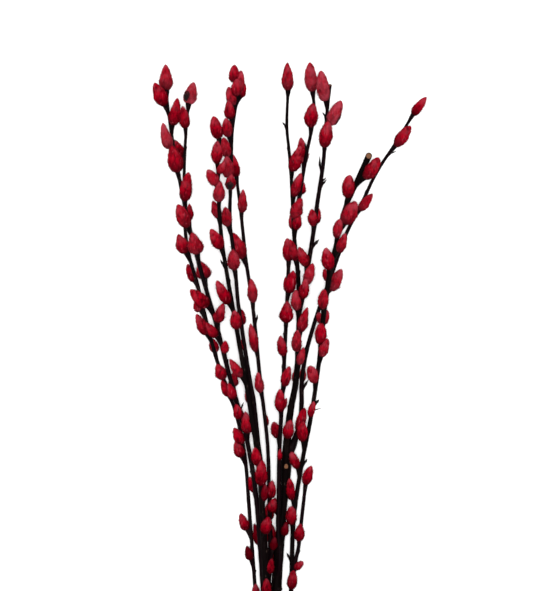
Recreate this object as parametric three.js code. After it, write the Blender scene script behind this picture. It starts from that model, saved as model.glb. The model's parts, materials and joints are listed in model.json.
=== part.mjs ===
// A willow branch in catkin, cut from its shrub and laid down. Millimetres, +Z up.
// +Y runs from the cut butt to the tips and +X is the right-hand side, seen from above.
// One thick stem carries eleven thinner shoots, and furry catkins sit along all of them.
import * as THREE from 'three';

// ---- Driving sizes ----
const STEM_SIDES = 8; // facets around a stem
const RING_SPACING = 16; // between the rings of a stem
const CATKIN_SIDES = 8; // facets around a catkin
const SEAT_GAP = 0.4; // from the bark, or a cut tip, to the catkin that grows on it
const INNER_FLATNESS = 0.7; // share of its half width that a side catkin keeps towards its stem
const WIDEST_AT = 0.3; // share of a catkin's length where it is widest
const SEAT_SHARE = 0.42; // share of a catkin's half width that its flat seat has

// A catkin's outline, from its seat to its tip: share of the half width, share of the length.
const CATKIN_OUTLINE = [
  [0, 0], [SEAT_SHARE, 0], [0.88, 0.14], [1, WIDEST_AT], [0.82, 0.6], [0.4, 0.88], [0, 1],
];

const UP = new THREE.Vector3(0, 0, 1);

// ---- Materials ----
function dullMaterial(name, color, roughness) {
  return new THREE.MeshStandardMaterial({ name, color, roughness, metalness: 0 });
}

const oldBark = dullMaterial('old_bark', 0x2a1a1c, 0.7);
const youngBark = dullMaterial('young_bark', 0x241019, 0.5);
const fur = dullMaterial('catkin_fur', 0xa3122b, 0.9);

// ---- The shoots ----
// Each bend of a route is x, y, z and the half thickness there, from the lower end up.
// Each catkin is how far up the branch it sits (y), its turn around the shoot in degrees (0 right,
// 90 up, 180 left, 270 down), its lean away from the shoot in degrees, its length and its width.
// A tip catkin is its lean to the right in degrees, its length and its width.

const MAIN_STEM = {
  name: 'main_stem',
  bark: oldBark,
  route: [
    [-1, -123, 5.31, 5.6], [0, -59, 8.2, 5], [1.2, 1, 11, 4.2], [3.6, 37, 12.3, 4],
    [7.3, 72, 13.3, 2.8], [8.6, 88, 13.8, 3.7], [9, 100, 14.1, 4.2], [9.6, 116, 14.5, 3.3],
    [12, 141, 15.5, 2.7], [17, 169, 17, 2.4], [19, 209, 19, 2.1], [18.5, 252, 21.5, 1.85],
    [15.5, 282, 23.5, 1.65], [14, 313, 25.5, 1.5], [12, 345, 28, 1.3], [9.5, 371, 30.5, 1.25],
    [10.5, 401, 33.5, 1.15],
  ],
  catkins: [
    [209, 60, 19, 20, 8.5],
    [300, 70, 42, 19.5, 10],
    [338, 60, 39, 23, 10],
  ],
  tip: [-6, 21, 9.5],
};

const UPPER_FORK = {
  name: 'upper_fork_shoot',
  bark: youngBark,
  route: [
    [18, 308, 27, 1.5], [22.5, 333, 31, 1.45], [25, 349, 34, 1.4], [29.5, 370, 38.5, 1.4],
    [31.5, 394, 43.5, 1.25], [30, 400, 45, 1.25],
  ],
  catkins: [[373, 110, 14, 19.5, 11]],
  tip: [3, 22.5, 10.2],
};

const RIGHT_FORK = {
  name: 'right_fork_shoot',
  bark: youngBark,
  route: [
    [21.5, 236, 24, 1.9], [27, 263, 30, 1.85], [31, 289, 35.5, 1.8], [34.5, 315, 41.5, 1.7],
    [38.5, 342, 47.5, 1.6], [41, 378, 54.5, 1.3], [44, 404, 59, 1.3],
  ],
  catkins: [
    [248, 65, 10, 17.5, 8.5],
    [262, 125, 42, 19.5, 8.5],
    [357, 90, 10, 20.5, 10.5],
    [374, 20, 17, 20.5, 10.5],
    [393, 150, 16, 23.5, 10.8],
  ],
};

const MIDDLE = {
  name: 'middle_shoot',
  bark: youngBark,
  route: [
    [4, 23, 18, 1.8], [2.5, 49, 18, 1.8], [3, 73, 18.5, 1.75], [3.5, 111, 19, 1.7],
    [6.5, 165, 20.5, 1.6], [9, 218, 23, 1.55], [11, 264, 25, 1.45],
  ],
  catkins: [
    [145, 105, 33, 21, 8.5],
    [190, 110, 38, 19.5, 8],
  ],
  tip: [-6, 17.5, 8.5],
};

const RIGHT = {
  name: 'right_shoot',
  bark: oldBark,
  route: [
    [7, -79, 7, 2.1], [11, -31, 9, 2], [13, 1, 10.5, 1.85], [15, 57, 14, 1.85],
    [21.5, 101, 17.5, 1.75], [29, 140, 20.5, 1.75], [35, 181, 24.5, 1.75], [38.5, 217, 28, 2],
    [43, 249, 31, 2.2], [49, 278, 34, 1.85], [56, 306, 37, 1.85], [64, 324, 39, 2.1],
    [75, 348, 41.5, 2.55],
  ],
  catkins: [
    [168, 115, 42, 18.5, 9],
    [199, 95, 10, 16.5, 9.5],
    [259, 115, 40, 20, 10],
    [296, 50, 10, 19, 12],
    [316, 120, 42, 21.5, 10],
    [333, 25, 10, 19, 10.5],
  ],
};

const FAR_RIGHT = {
  name: 'far_right_shoot',
  bark: youngBark,
  route: [
    [15, 118, 16, 2.2], [18.5, 128, 14, 2.1], [21, 141, 12.5, 1.95], [21.5, 166, 11.5, 1.8],
    [25, 190, 11.5, 1.7], [34.5, 223, 12.5, 1.6], [46.5, 256, 12.5, 1.55], [58.5, 289, 11, 1.5],
    [69, 309, 9.5, 1.45], [81.5, 335, 8, 1.3], [97, 359, 6.3, 1.25], [111, 382, 3.95, 1.1],
  ],
  catkins: [
    [243, 40, 10, 18, 10.5],
    [306, 65, 16, 16, 7.5],
    [358, 70, 10, 19, 9.5],
  ],
  tip: [5, 17, 7.5],
};

const RIGHT_TWIG = {
  name: 'right_side_twig',
  bark: youngBark,
  route: [
    [15.5, 20, 14.5, 1.55], [18.5, 32, 16, 1.55], [20, 45, 17.5, 1.55], [24.5, 85, 23, 1.4],
  ],
  catkins: [],
  tip: [6, 15, 8],
};

const FAR_LEFT = {
  name: 'far_left_shoot',
  bark: youngBark,
  route: [
    [-7.2, -55, 11.4, 2.1], [-9.2, -7, 13, 2.05], [-12, 37, 15, 2], [-14, 63, 16.3, 1.95],
    [-16.9, 89, 17.5, 1.9], [-24, 127, 19, 1.85], [-36, 170, 21.5, 1.85], [-47, 213, 24, 1.8],
    [-58.5, 253, 26, 1.75], [-68, 289, 28, 1.7], [-77.5, 335, 30, 1.5], [-85, 381, 32, 1.25],
    [-87, 401, 33, 1.2],
  ],
  catkins: [
    [230, 145, 36, 19.5, 11.5],
    [271, 80, 10, 16.5, 12.5],
    [293, 120, 21, 20, 11],
    [314, 65, 33, 24.5, 10],
    [337, 95, 10, 20.5, 12],
    [356, 150, 10, 20, 9.5],
    [374, 35, 22, 21, 10],
    [390, 140, 22, 19.5, 11.5],
  ],
  tip: [4, 19.5, 11],
};

const LOW_LEFT = {
  name: 'low_left_shoot',
  bark: youngBark,
  route: [
    [-8.6, -97, 6, 1.7], [-13, -39, 6.5, 1.6], [-16, 1, 7, 1.5], [-20.5, 61, 8, 1.5],
    [-25, 113, 9, 1.5], [-33.5, 149, 10, 1.6], [-45, 179, 11, 1.55], [-55, 215, 12, 1.55],
    [-63, 248, 12, 1.5], [-70.5, 275, 12, 1.45], [-73, 313, 11, 1.35], [-72, 361, 8.5, 1.2],
    [-69.5, 391, 5.5, 1.1],
  ],
  catkins: [
    [207, 140, 10, 17, 8.5],
    [272, 125, 16, 15.5, 10.5],
  ],
  tip: [9, 16.5, 10.5],
};

const LEFT = {
  name: 'left_shoot',
  bark: oldBark,
  route: [
    [-3, -65, 15.4, 2.8], [-6.8, 1, 19.4, 2.9], [-9.6, 53, 22.4, 2.6], [-12.4, 97, 25.5, 2.2],
    [-19.2, 143, 30.2, 2], [-27, 189, 35.2, 1.9], [-35, 234, 40, 1.7], [-42.5, 281, 45.5, 1.6],
    [-45.5, 329, 51, 1.4], [-44.5, 362, 54.5, 1.3],
  ],
  catkins: [
    [232, 150, 19, 20, 9.5],
    [276, 120, 35, 20, 10],
    [326, 120, 42, 16.5, 9.5],
    [343, 105, 18, 18, 9],
  ],
  tip: [-20, 17, 9.5],
};

const LEFT_FORK = {
  name: 'left_fork_shoot',
  bark: youngBark,
  route: [
    [-12.2, 106, 22.4, 1.8], [-15, 133, 25.6, 1.8], [-16.6, 149, 28, 1.8], [-20, 168, 30.2, 1.75],
    [-23.4, 189, 31.8, 1.7], [-25.4, 203, 31.8, 1.7], [-29.5, 230, 30.5, 1.6], [-32.5, 266, 31, 1.55],
    [-36, 295, 32, 1.5], [-35, 333, 34, 1.4], [-34, 369, 35, 1.25], [-29.5, 397, 35, 1.25],
  ],
  catkins: [],
  tip: [-4, 18.5, 8.5],
};

const INNER_LEFT = {
  name: 'inner_left_shoot',
  bark: youngBark,
  route: [
    [-5.2, 4, 14.4, 1.9], [-3.6, 25, 15.2, 2.2], [-4.6, 69, 16, 1.6], [-6, 117, 18, 1.5],
    [-12, 170, 20, 1.55], [-18, 229, 21, 1.5], [-23.5, 266, 20, 1.45], [-26.5, 295, 19, 1.4],
    [-31, 332, 16, 1.2],
  ],
  catkins: [
    [193, 115, 18, 22.5, 7.5],
    [232, 75, 10, 18, 8],
    [268, 135, 21, 21, 11.5],
    [304, 65, 20, 18, 7.5],
  ],
  tip: [-6, 17.5, 8],
};

const SHOOTS = [
  MAIN_STEM, UPPER_FORK, RIGHT_FORK, MIDDLE, RIGHT, FAR_RIGHT, RIGHT_TWIG,
  FAR_LEFT, LOW_LEFT, LEFT, LEFT_FORK, INNER_LEFT,
];

// ---- Where things are along a shoot ----

function curveOf(route) {
  const bends = route.map(([x, y, z]) => new THREE.Vector3(x, y, z));
  return new THREE.CatmullRomCurve3(bends, false, 'centripetal');
}

// A shoot only ever climbs in y, so its half thickness and its place follow from y.
function halfThicknessAt(route, y) {
  const next = route.findIndex((bend) => bend[1] >= y);
  if (next <= 0) {
    return next === 0 ? route[0][3] : route[route.length - 1][3];
  }
  const [, lowerY, , lower] = route[next - 1];
  const [, upperY, , upper] = route[next];
  return THREE.MathUtils.mapLinear(y, lowerY, upperY, lower, upper);
}

function parameterAt(curve, y) {
  let low = 0;
  let high = 1;
  for (let halving = 0; halving < 30; halving += 1) {
    const middle = (low + high) / 2;
    if (curve.getPoint(middle).y < y) {
      low = middle;
    } else {
      high = middle;
    }
  }
  return low;
}

// The direction at a turn around a stem that runs along tangent.
function sideways(tangent, turn) {
  const over = UP.clone().addScaledVector(tangent, -UP.dot(tangent)).normalize();
  const right = tangent.clone().cross(over);
  const angle = THREE.MathUtils.degToRad(turn);
  return right.multiplyScalar(Math.cos(angle)).addScaledVector(over, Math.sin(angle));
}

// ---- Sub-parts ----

// A tapered round stem: a unit circle swept along the curve, then each ring drawn out to its size.
function stemGeometry(curve, route) {
  const corners = [];
  for (let side = 0; side < STEM_SIDES; side += 1) {
    const angle = (side / STEM_SIDES) * 2 * Math.PI;
    corners.push(new THREE.Vector2(Math.cos(angle), Math.sin(angle)));
  }
  const steps = Math.ceil(curve.getLength() / RING_SPACING);
  const options = { steps, bevelEnabled: false, extrudePath: curve };
  const geometry = new THREE.ExtrudeGeometry(new THREE.Shape(corners), options);
  const centres = curve.getSpacedPoints(steps);
  const position = geometry.attributes.position;
  const vertex = new THREE.Vector3();
  for (let index = 0; index < position.count; index += 1) {
    vertex.fromBufferAttribute(position, index);
    const centre = centres.reduce((a, b) => (a.distanceTo(vertex) < b.distanceTo(vertex) ? a : b));
    vertex.sub(centre).multiplyScalar(halfThicknessAt(route, centre.y)).add(centre);
    position.setXYZ(index, vertex.x, vertex.y, vertex.z);
  }
  geometry.computeVertexNormals();
  return geometry;
}

// A pointed, blunt-seated catkin standing on its seat along +Z. Its stem is on the -X side.
function catkinGeometry(length, width, innerFlatness) {
  const outline = CATKIN_OUTLINE.map(([out, up]) => new THREE.Vector2(out * width / 2, up * length));
  const geometry = new THREE.LatheGeometry(outline, CATKIN_SIDES);
  geometry.rotateX(Math.PI / 2);
  const position = geometry.attributes.position;
  for (let index = 0; index < position.count; index += 1) {
    if (position.getX(index) < 0) {
      position.setX(index, position.getX(index) * innerFlatness);
    }
  }
  geometry.computeVertexNormals();
  return geometry;
}

// Stands a catkin at seat, pointing along axis, with outward as its outer side.
function catkinMesh(name, geometry, seat, axis, outward) {
  const mesh = new THREE.Mesh(geometry, fur);
  const basis = new THREE.Matrix4().makeBasis(outward, axis.clone().cross(outward), axis);
  mesh.quaternion.setFromRotationMatrix(basis);
  mesh.position.copy(seat);
  mesh.name = name;
  return mesh;
}

function sideCatkin(name, curve, route, [y, turn, lean, length, width]) {
  const parameter = parameterAt(curve, y);
  const tangent = curve.getTangent(parameter);
  const side = sideways(tangent, turn);
  const tilt = THREE.MathUtils.degToRad(lean);
  const axis = tangent.clone().multiplyScalar(Math.cos(tilt)).addScaledVector(side, Math.sin(tilt));
  const outward = side.clone().multiplyScalar(Math.cos(tilt)).addScaledVector(tangent, -Math.sin(tilt));
  const innerReach = INNER_FLATNESS * width / 2;
  const clearance = Math.max(innerReach - WIDEST_AT * length * Math.sin(tilt), SEAT_SHARE * innerReach);
  const standOff = halfThicknessAt(route, y) + SEAT_GAP + clearance;
  const seat = curve.getPoint(parameter).addScaledVector(side, standOff);
  return catkinMesh(name, catkinGeometry(length, width, INNER_FLATNESS), seat, axis, outward);
}

function tipCatkin(name, curve, [lean, length, width]) {
  const tangent = curve.getTangent(1);
  const right = sideways(tangent, 0);
  const tilt = THREE.MathUtils.degToRad(lean);
  const axis = tangent.clone().multiplyScalar(Math.cos(tilt)).addScaledVector(right, Math.sin(tilt));
  const outward = right.clone().multiplyScalar(Math.cos(tilt)).addScaledVector(tangent, -Math.sin(tilt));
  const seat = curve.getPoint(1).addScaledVector(axis, 2 * SEAT_GAP);
  return catkinMesh(name, catkinGeometry(length, width, 1), seat, axis, outward);
}

// ---- The branch ----

function shootGroup({ name, bark, route, catkins, tip }) {
  const group = new THREE.Group();
  const curve = curveOf(route);
  const stem = new THREE.Mesh(stemGeometry(curve, route), bark);
  stem.name = name;
  group.add(stem);
  catkins.forEach((catkin, index) => {
    group.add(sideCatkin(`${name}_catkin_${index + 1}`, curve, route, catkin));
  });
  if (tip) {
    group.add(tipCatkin(`${name}_tip_catkin`, curve, tip));
  }
  return group;
}

// Sets the branch down with its lowest points at z 0 and the middle of its outline over the origin.
function layDown(branch) {
  branch.updateMatrixWorld(true);
  const box = new THREE.Box3().setFromObject(branch, true);
  const middle = box.getCenter(new THREE.Vector3());
  branch.position.set(-middle.x, -middle.y, -box.min.z);
}

const branch = new THREE.Group();
SHOOTS.forEach((shoot) => branch.add(shootGroup(shoot)));
layDown(branch);

export default branch;
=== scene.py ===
"""A cut branch of red pussy willow, lying on a pale floor.

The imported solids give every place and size. This file grows the bark skins with their bud seats and
forks, the furry catkins, the bud scales and the dry buds around them.
"""

import json
import math
import zlib

import bmesh
import bpy
import numpy as np
from bpy.props import FloatProperty, FloatVectorProperty, IntProperty, PointerProperty
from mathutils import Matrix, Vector, noise


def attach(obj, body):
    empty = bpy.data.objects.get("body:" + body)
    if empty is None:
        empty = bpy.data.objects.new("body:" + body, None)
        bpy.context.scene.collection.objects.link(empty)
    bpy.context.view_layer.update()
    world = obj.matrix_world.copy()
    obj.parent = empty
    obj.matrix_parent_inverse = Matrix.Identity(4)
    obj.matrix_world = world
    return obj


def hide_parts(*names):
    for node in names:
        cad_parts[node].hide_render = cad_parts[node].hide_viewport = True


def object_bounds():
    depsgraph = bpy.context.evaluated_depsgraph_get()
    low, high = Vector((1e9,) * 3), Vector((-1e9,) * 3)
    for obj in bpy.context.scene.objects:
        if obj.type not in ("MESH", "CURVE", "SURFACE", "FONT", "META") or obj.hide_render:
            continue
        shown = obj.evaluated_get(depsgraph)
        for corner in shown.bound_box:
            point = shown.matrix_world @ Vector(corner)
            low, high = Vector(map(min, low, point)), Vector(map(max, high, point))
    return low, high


bl_info = {
    "name": "Red pussy willow branch",
    "version": (1, 0, 0),
    "blender": (4, 5, 0),
    "location": "View3D > Sidebar > Willow",
    "description": "Grows a cut pussy willow branch with furry red catkins around its packed solids",
    "category": "Add Mesh",
}

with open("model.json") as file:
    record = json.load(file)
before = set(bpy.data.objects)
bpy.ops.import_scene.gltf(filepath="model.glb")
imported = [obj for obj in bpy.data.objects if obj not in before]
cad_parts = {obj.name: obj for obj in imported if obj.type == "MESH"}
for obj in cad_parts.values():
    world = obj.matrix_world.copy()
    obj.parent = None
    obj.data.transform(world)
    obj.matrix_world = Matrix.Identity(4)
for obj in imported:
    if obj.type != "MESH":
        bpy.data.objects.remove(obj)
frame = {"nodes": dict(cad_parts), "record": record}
CAD_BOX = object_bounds()
MM = 0.001
UP = np.array([0.0, 0.0, 1.0])
SLOT_OF = {part["node"]: part["material_slot"] for part in frame["record"]["subparts"]}

# ---- How the branch forks ----
# Each shoot and the thicker one that it grows out of, thickest first.
PARENT_OF = {"main_stem": None}
PARENT_OF |= dict.fromkeys((
    "left_shoot", "right_shoot", "far_left_shoot", "low_left_shoot", "inner_left_shoot",
    "middle_shoot", "far_right_shoot", "right_fork_shoot", "upper_fork_shoot",
), "main_stem")
PARENT_OF |= {"left_fork_shoot": "left_shoot", "right_side_twig": "right_shoot"}
ROOT_DEPTH = 17 * MM  # a shoot's wood starts this far down inside its parent
ROOT_SHARE = 0.85  # and with at most this share of the parent's half thickness
RING_GAP = 4 * MM  # corners of one ring of a solid are closer than this, up the branch
WELD = 0.02 * MM  # corners of a solid closer than this are one
SEAT_CORNERS = 8  # corners round the flat seat of a catkin's solid

# ---- How a catkin sits, as in its solid ----
SEAT_GAP = 0.4 * MM
INNER_FLATNESS = 0.7
WIDEST_AT = 0.3
SEAT_SHARE = 0.42
FULLNESS = 1.02  # the catkins below are this much wider than their width in the rows
REACH = 0.95  # and this much of their length there, as the hair adds the rest

# The smaller catkins, which have no solid: height above the cut butt and turn round the shoot
# (0 right, 90 up, 180 left, 270 down), lean away from it, length and width, in mm and degrees.
SMALL_CATKINS = {
    "main_stem": [
        (168, 60, 10, 11.5, 6.5), (246, 90, 10, 15, 9),
        (290, 260, 10, 12.5, 5.5), (305, 65, 16, 14.5, 6), (316, 105, 10, 17.5, 8),
        (349, 115, 18, 17, 8.5), (389, 110, 11, 17.5, 7.5), (413, 55, 20, 14.5, 7.5),
        (413, 265, 10, 12.5, 6.5), (440, 55, 23, 20.5, 7.5), (162, 205, 10, 14, 6.5),
        (184, 200, 10, 13, 6),
    ],
    "upper_fork_shoot": [(441, 285, 10, 10, 6.5), (466, 245, 35, 22.5, 9)],
    "right_fork_shoot": [(359, 80, 10, 18, 8), (417, 110, 32, 18, 7.5), (417, 285, 10, 13, 6.5)],
    "middle_shoot": [
        (228, 85, 10, 9, 4), (246, 245, 42, 15.5, 8.5), (269, 295, 33, 10, 4), (288, 70, 15, 17, 8),
        (339, 90, 10, 17, 10.5), (363, 65, 12, 18, 8.5), (363, 260, 10, 12, 5.5),
    ],
    "right_shoot": [
        (125, 85, 10, 15.5, 8), (177, 110, 24, 16, 8.5), (196, 165, 13, 17.5, 7),
        (221, 165, 28, 14.5, 7.5), (243, 140, 10, 16, 8.5), (263, 100, 10, 13, 5.5),
        (312, 60, 14, 15.5, 7.5), (337, 250, 38, 10.5, 6), (337, 290, 11, 11.5, 6),
        (350, 110, 16, 16.5, 8.5), (371, 245, 42, 11.5, 5), (396, 35, 10, 16, 7.5),
        (407, 105, 25, 17, 7.5),
    ],
    "far_right_shoot": [(251, 90, 10, 19, 7.5), (291, 275, 10, 12.5, 5.5)],
    "right_side_twig": [(141, 50, 36, 10.5, 6), (164, 95, 10, 14, 8)],
    "far_left_shoot": [
        (160, 255, 15, 17.5, 7.5), (202, 245, 10, 13, 6), (250, 60, 10, 17, 9.5),
        (262, 105, 10, 12.5, 8), (278, 110, 10, 13.5, 7.5), (287, 290, 42, 13.5, 7.5),
        (314, 70, 42, 13, 6.5), (328, 145, 21, 14, 8), (339, 55, 42, 18.5, 9.5),
        (373, 285, 10, 14.5, 11.5), (420, 305, 18, 13.5, 6),
    ],
    "low_left_shoot": [
        (115, 85, 10, 14, 7), (148, 130, 10, 11.5, 6.5), (172, 160, 15, 14, 8),
        (231, 140, 14, 13.5, 8.5), (242, 110, 37, 16, 8.5), (280, 115, 10, 14, 6.5),
        (293, 90, 10, 13.5, 9.5), (314, 280, 10, 11.5, 7.5), (348, 230, 15, 10, 8.5),
        (372, 240, 10, 15, 7.5), (472, 235, 42, 18.5, 7.5), (495, 110, 32, 19, 8.5),
    ],
    "left_shoot": [
        (121, 90, 10, 13, 7), (170, 70, 22, 14.5, 8.5), (196, 60, 10, 14, 5.5),
        (209, 85, 10, 20.5, 9.5), (225, 105, 10, 15, 7.5), (273, 280, 10, 13, 7.5), (296, 160, 22, 17, 8),
        (316, 290, 42, 9.5, 4), (334, 85, 10, 15.5, 9), (422, 245, 25, 15, 7.5),
        (436, 85, 10, 16.5, 9.5), (458, 65, 42, 13, 6.5),
    ],
    "left_fork_shoot": [
        (337, 285, 36, 15, 6), (381, 100, 10, 16.5, 10), (416, 120, 10, 15.5, 8.5),
        (445, 95, 10, 13, 8), (455, 120, 10, 17, 10), (471, 150, 12, 16, 8.5), (487, 145, 11, 15, 8.5),
        (501, 150, 17, 15.5, 8.5), (512, 155, 25, 15, 8.5), (519, 120, 6, 14, 8.5),
        (519, 280, 10, 15, 7.5), (519, 350, 6, 11, 5), (530, 175, 5, 14, 9),
    ],
    "inner_left_shoot": [
        (137, 95, 10, 12.5, 7), (156, 60, 14, 11, 6), (162, 265, 10, 14, 7), (187, 70, 37, 13, 7.5),
        (198, 70, 10, 14.5, 7.5), (255, 285, 10, 10, 4), (283, 105, 10, 16.5, 7.5),
        (180, 265, 8, 13, 8), (146, 270, 8, 13, 7),
    ],
}

# Buds that dried before they opened: shoot, height above the butt, turn, lean, length and width.
DRY_BUDS = [
    ("main_stem", 496, 180, 38, 3.2, 1.5), ("right_fork_shoot", 462, 175, 5, 9, 1.9),
    ("right_fork_shoot", 449, 5, 28, 5, 1.6), ("right_fork_shoot", 452, 20, 40, 3.4, 1.3),
    ("right_fork_shoot", 401, 0, 30, 5.5, 2.6), ("right_fork_shoot", 503, 175, 40, 3, 1.3),
    ("far_right_shoot", 287, 0, 22, 6, 2.2), ("right_shoot", 149, 178, 25, 4.5, 1.8),
    ("right_shoot", 274, 5, 30, 3.6, 2.4), ("far_left_shoot", 269, 5, 35, 5, 1.3),
    ("right_shoot", 226, 350, 20, 3.5, 2), ("low_left_shoot", 402, 90, 12, 4.5, 1.7),
    ("left_shoot", 385, 200, 20, 4, 1.7), ("inner_left_shoot", 340, 20, 16, 4.5, 1.7),
    ("middle_shoot", 301, 120, 15, 4, 1.6), ("far_right_shoot", 402, 100, 18, 4, 1.6),
    ("far_right_shoot", 449, 250, 18, 3.6, 1.5), ("upper_fork_shoot", 478, 160, 18, 3.6, 1.5),
    ("right_shoot", 268, 20, 62, 7, 0.8), ("far_right_shoot", 475, 20, 40, 4.5, 1.1),
]

# How pink the fur is on the catkins that stand out: 1 is pink and 0 crimson; below 0 is painted shade, a
# deep red on catkins that lie in shadow.
PINK_AND_SHADED_CATKINS = {
    "low_left_shoot_tip_catkin": 1.0,
    "right_fork_shoot_catkin_4": 0.8,
    "right_fork_shoot_catkin_5": 0.7,
    "upper_fork_shoot_tip_catkin": 0.6,
    "far_left_shoot_catkin_6": 0.6,
    "left_fork_shoot_tip_catkin": 0.5,
    "low_left_shoot_small_1": -1.0,
    "inner_left_shoot_small_1": -1.0,
    "left_shoot_small_2": -1.0,
    "main_stem_small_0": -0.8,
    "far_left_shoot_small_0": -0.8,
}
# Painted shade: catkins nearer the butt than the first height are painted a deeper red, as if in the
# shadow of the branch, and most so at the second.
SHADED_BELOW = 270 * MM
SHADED_MOST = 130 * MM

# How round a catkin's tip is on each shoot, from 0 for pointed to 1.
ROUNDNESS_OF = {
    "right_shoot": 0.9, "far_right_shoot": 0.7, "right_fork_shoot": 0.55, "upper_fork_shoot": 0.45,
    "main_stem": 0.4, "middle_shoot": 0.5, "left_shoot": 0.45, "left_fork_shoot": 0.5,
    "right_side_twig": 0.7, "inner_left_shoot": 0.35, "low_left_shoot": 0.3, "far_left_shoot": 0.2,
}


# ---- Small helpers ----

def unit(vectors):
    return vectors / np.linalg.norm(vectors, axis=-1, keepdims=True)


def soft_step(values):
    """0 below 0, 1 above 1 and a smooth climb between."""
    values = np.clip(values, 0, 1)
    return values * values * (3 - 2 * values)


def lumps(points, size, seed):
    """Smooth noise from about -1 to 1, with lumps of this size."""
    return np.array([noise.noise(Vector(point)) for point in points / size + seed])


def random_for(name):
    """Random numbers that are the same on each run and differ from piece to piece."""
    return np.random.default_rng(zlib.crc32(name.encode()))


def full_turn(sides):
    """The angles of this many corners round a ring."""
    return np.arange(sides) / sides * 2 * math.pi


def circle(angles, across, over):
    """Places on a unit circle: across at angle 0 and over a quarter turn later."""
    return np.cos(angles)[:, None] * across + np.sin(angles)[:, None] * over


def aimed(directions, turn, lean):
    """The side at a turn round a shoot, and the axis that leans out from it to that side."""
    along, right, over = directions
    side = right * math.cos(turn) + over * math.sin(turn)
    return side, along * math.cos(lean) + side * math.sin(lean)


def corners_of(node):
    """The corners of a node's solid, each once."""
    solid = bmesh.new()
    solid.from_mesh(frame["nodes"][node].data)
    bmesh.ops.remove_doubles(solid, verts=solid.verts, dist=WELD)
    corners = np.array([vertex.co for vertex in solid.verts])
    solid.free()
    return corners


def ring_quads(rings, sides):
    """The faces between closed rings of corners, facing out where each ring turns left."""
    start = np.arange(rings - 1)[:, None] * sides
    side = np.arange(sides)
    after = (side + 1) % sides
    quads = [start + side, start + after, start + sides + after, start + sides + side]
    return np.stack(quads, axis=-1).reshape(-1, 4)


def ring_fan(first, middle, sides):
    """The faces between a ring that starts at corner first and one corner in its middle."""
    side = np.arange(sides)
    after = (side + 1) % sides
    return np.stack([first + side, first + after, np.full(sides, middle)], axis=-1)


def spindle(rings, sides):
    """The faces of closed rings whose ends are capped by two more corners, foot first."""
    count = rings * sides
    foot, tip = ring_fan(0, count, sides)[:, ::-1], ring_fan(count - sides, count + 1, sides)
    return [ring_quads(rings, sides), foot, tip]


class Skin:
    """Corners and faces of one piece, with the shades that its materials read at each corner."""

    def __init__(self, shades):
        self.count = 0
        self.corners, self.loops, self.sizes, self.finishes = [], [], [], []
        self.shades = {name: [] for name in shades}

    def add(self, corners, faces, finish=0, **shades):
        for group in faces:
            self.loops.append((group + self.count).ravel())
            self.sizes.append(np.full(len(group), group.shape[1]))
            self.finishes.append(np.full(len(group), finish))
        for name, kept in self.shades.items():
            kept.append(np.broadcast_to(shades.get(name, 0.0), len(corners)))
        self.corners.append(corners)
        self.count += len(corners)

    def piece(self, name, materials, replaces=()):
        corners = np.concatenate(self.corners)
        corners[:, 2] = np.maximum(corners[:, 2], 0)  # nothing goes below the floor
        loops, sizes = np.concatenate(self.loops), np.concatenate(self.sizes)
        mesh = bpy.data.meshes.new(name)
        mesh.vertices.add(len(corners))
        mesh.vertices.foreach_set("co", corners.ravel())
        mesh.loops.add(len(loops))
        mesh.loops.foreach_set("vertex_index", loops)
        mesh.polygons.add(len(sizes))
        mesh.polygons.foreach_set("loop_start", np.cumsum(sizes) - sizes)
        mesh.polygons.foreach_set("material_index", np.concatenate(self.finishes))
        mesh.polygons.foreach_set("use_smooth", np.ones(len(sizes), bool))
        for shade, kept in self.shades.items():
            layer = mesh.attributes.new(shade, "FLOAT", "POINT")
            layer.data.foreach_set("value", np.concatenate(kept).astype(np.float32))
        mesh.update(calc_edges=True)
        for material in materials:
            mesh.materials.append(material)
        made = bpy.data.objects.new(name, mesh)
        bpy.context.scene.collection.objects.link(made)
        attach(made, "root")
        if replaces:
            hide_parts(*replaces)
        return made


# ---- The shoots ----

class Shoot:
    """A shoot's centreline and half thickness, read from the rings of its solid."""

    def __init__(self, name, parent):
        corners = corners_of(name)
        corners = corners[np.argsort(corners[:, 1])]
        rings = np.split(corners, np.flatnonzero(np.diff(corners[:, 1]) > RING_GAP) + 1)
        rows = []
        for ring in rings:
            middle = ring.mean(axis=0)
            rows.append([*middle, np.linalg.norm(ring - middle, axis=1).mean()])
        self.name = name
        self.fork = rows[0][1]
        if parent:
            root, thickness = parent.at(self.fork - ROOT_DEPTH)
            rows.insert(0, [*root, min(ROOT_SHARE * thickness, rows[0][3])])
        self.rows = np.array(rows)
        self.slopes = np.gradient(self.rows, self.rows[:, 1], axis=0)
        self.low, self.high = self.rows[0, 1], self.rows[-1, 1]

    def at(self, y):
        """The centre and the half thickness where the shoot passes y."""
        y = np.asarray(y, float)
        below = np.clip(np.searchsorted(self.rows[:, 1], y) - 1, 0, len(self.rows) - 2)
        span = (self.rows[below + 1, 1] - self.rows[below, 1])[..., None]
        share = (y - self.rows[below, 1])[..., None] / span
        one, two, three = share, share ** 2, share ** 3
        values = (
            (2 * three - 3 * two + 1) * self.rows[below]
            + (three - 2 * two + one) * span * self.slopes[below]
            + (3 * two - 2 * three) * self.rows[below + 1]
            + (three - two) * span * self.slopes[below + 1]
        )
        return values[..., :3], values[..., 3]

    def turned(self, y):
        """The directions along the shoot, to its right and over it, where it passes y."""
        step = 0.5 * MM
        along = unit(self.at(y + step)[0] - self.at(y - step)[0])
        over = unit(UP - along * along[..., 2:])
        return along, np.cross(along, over), over

    def height_of(self, point):
        """The y at which the shoot passes closest to a point."""
        y = point[1]
        for _ in range(8):
            along = self.turned(y)[0]
            y += (point - self.at(y)[0]) @ along * along[1]
        return y


def all_shoots():
    made = {}
    for name, parent in PARENT_OF.items():
        made[name] = Shoot(name, made.get(parent))
    return made


SHOOTS = all_shoots()
BUTT_Y = SHOOTS["main_stem"].low


# ---- Where the catkins and buds sit ----

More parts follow.
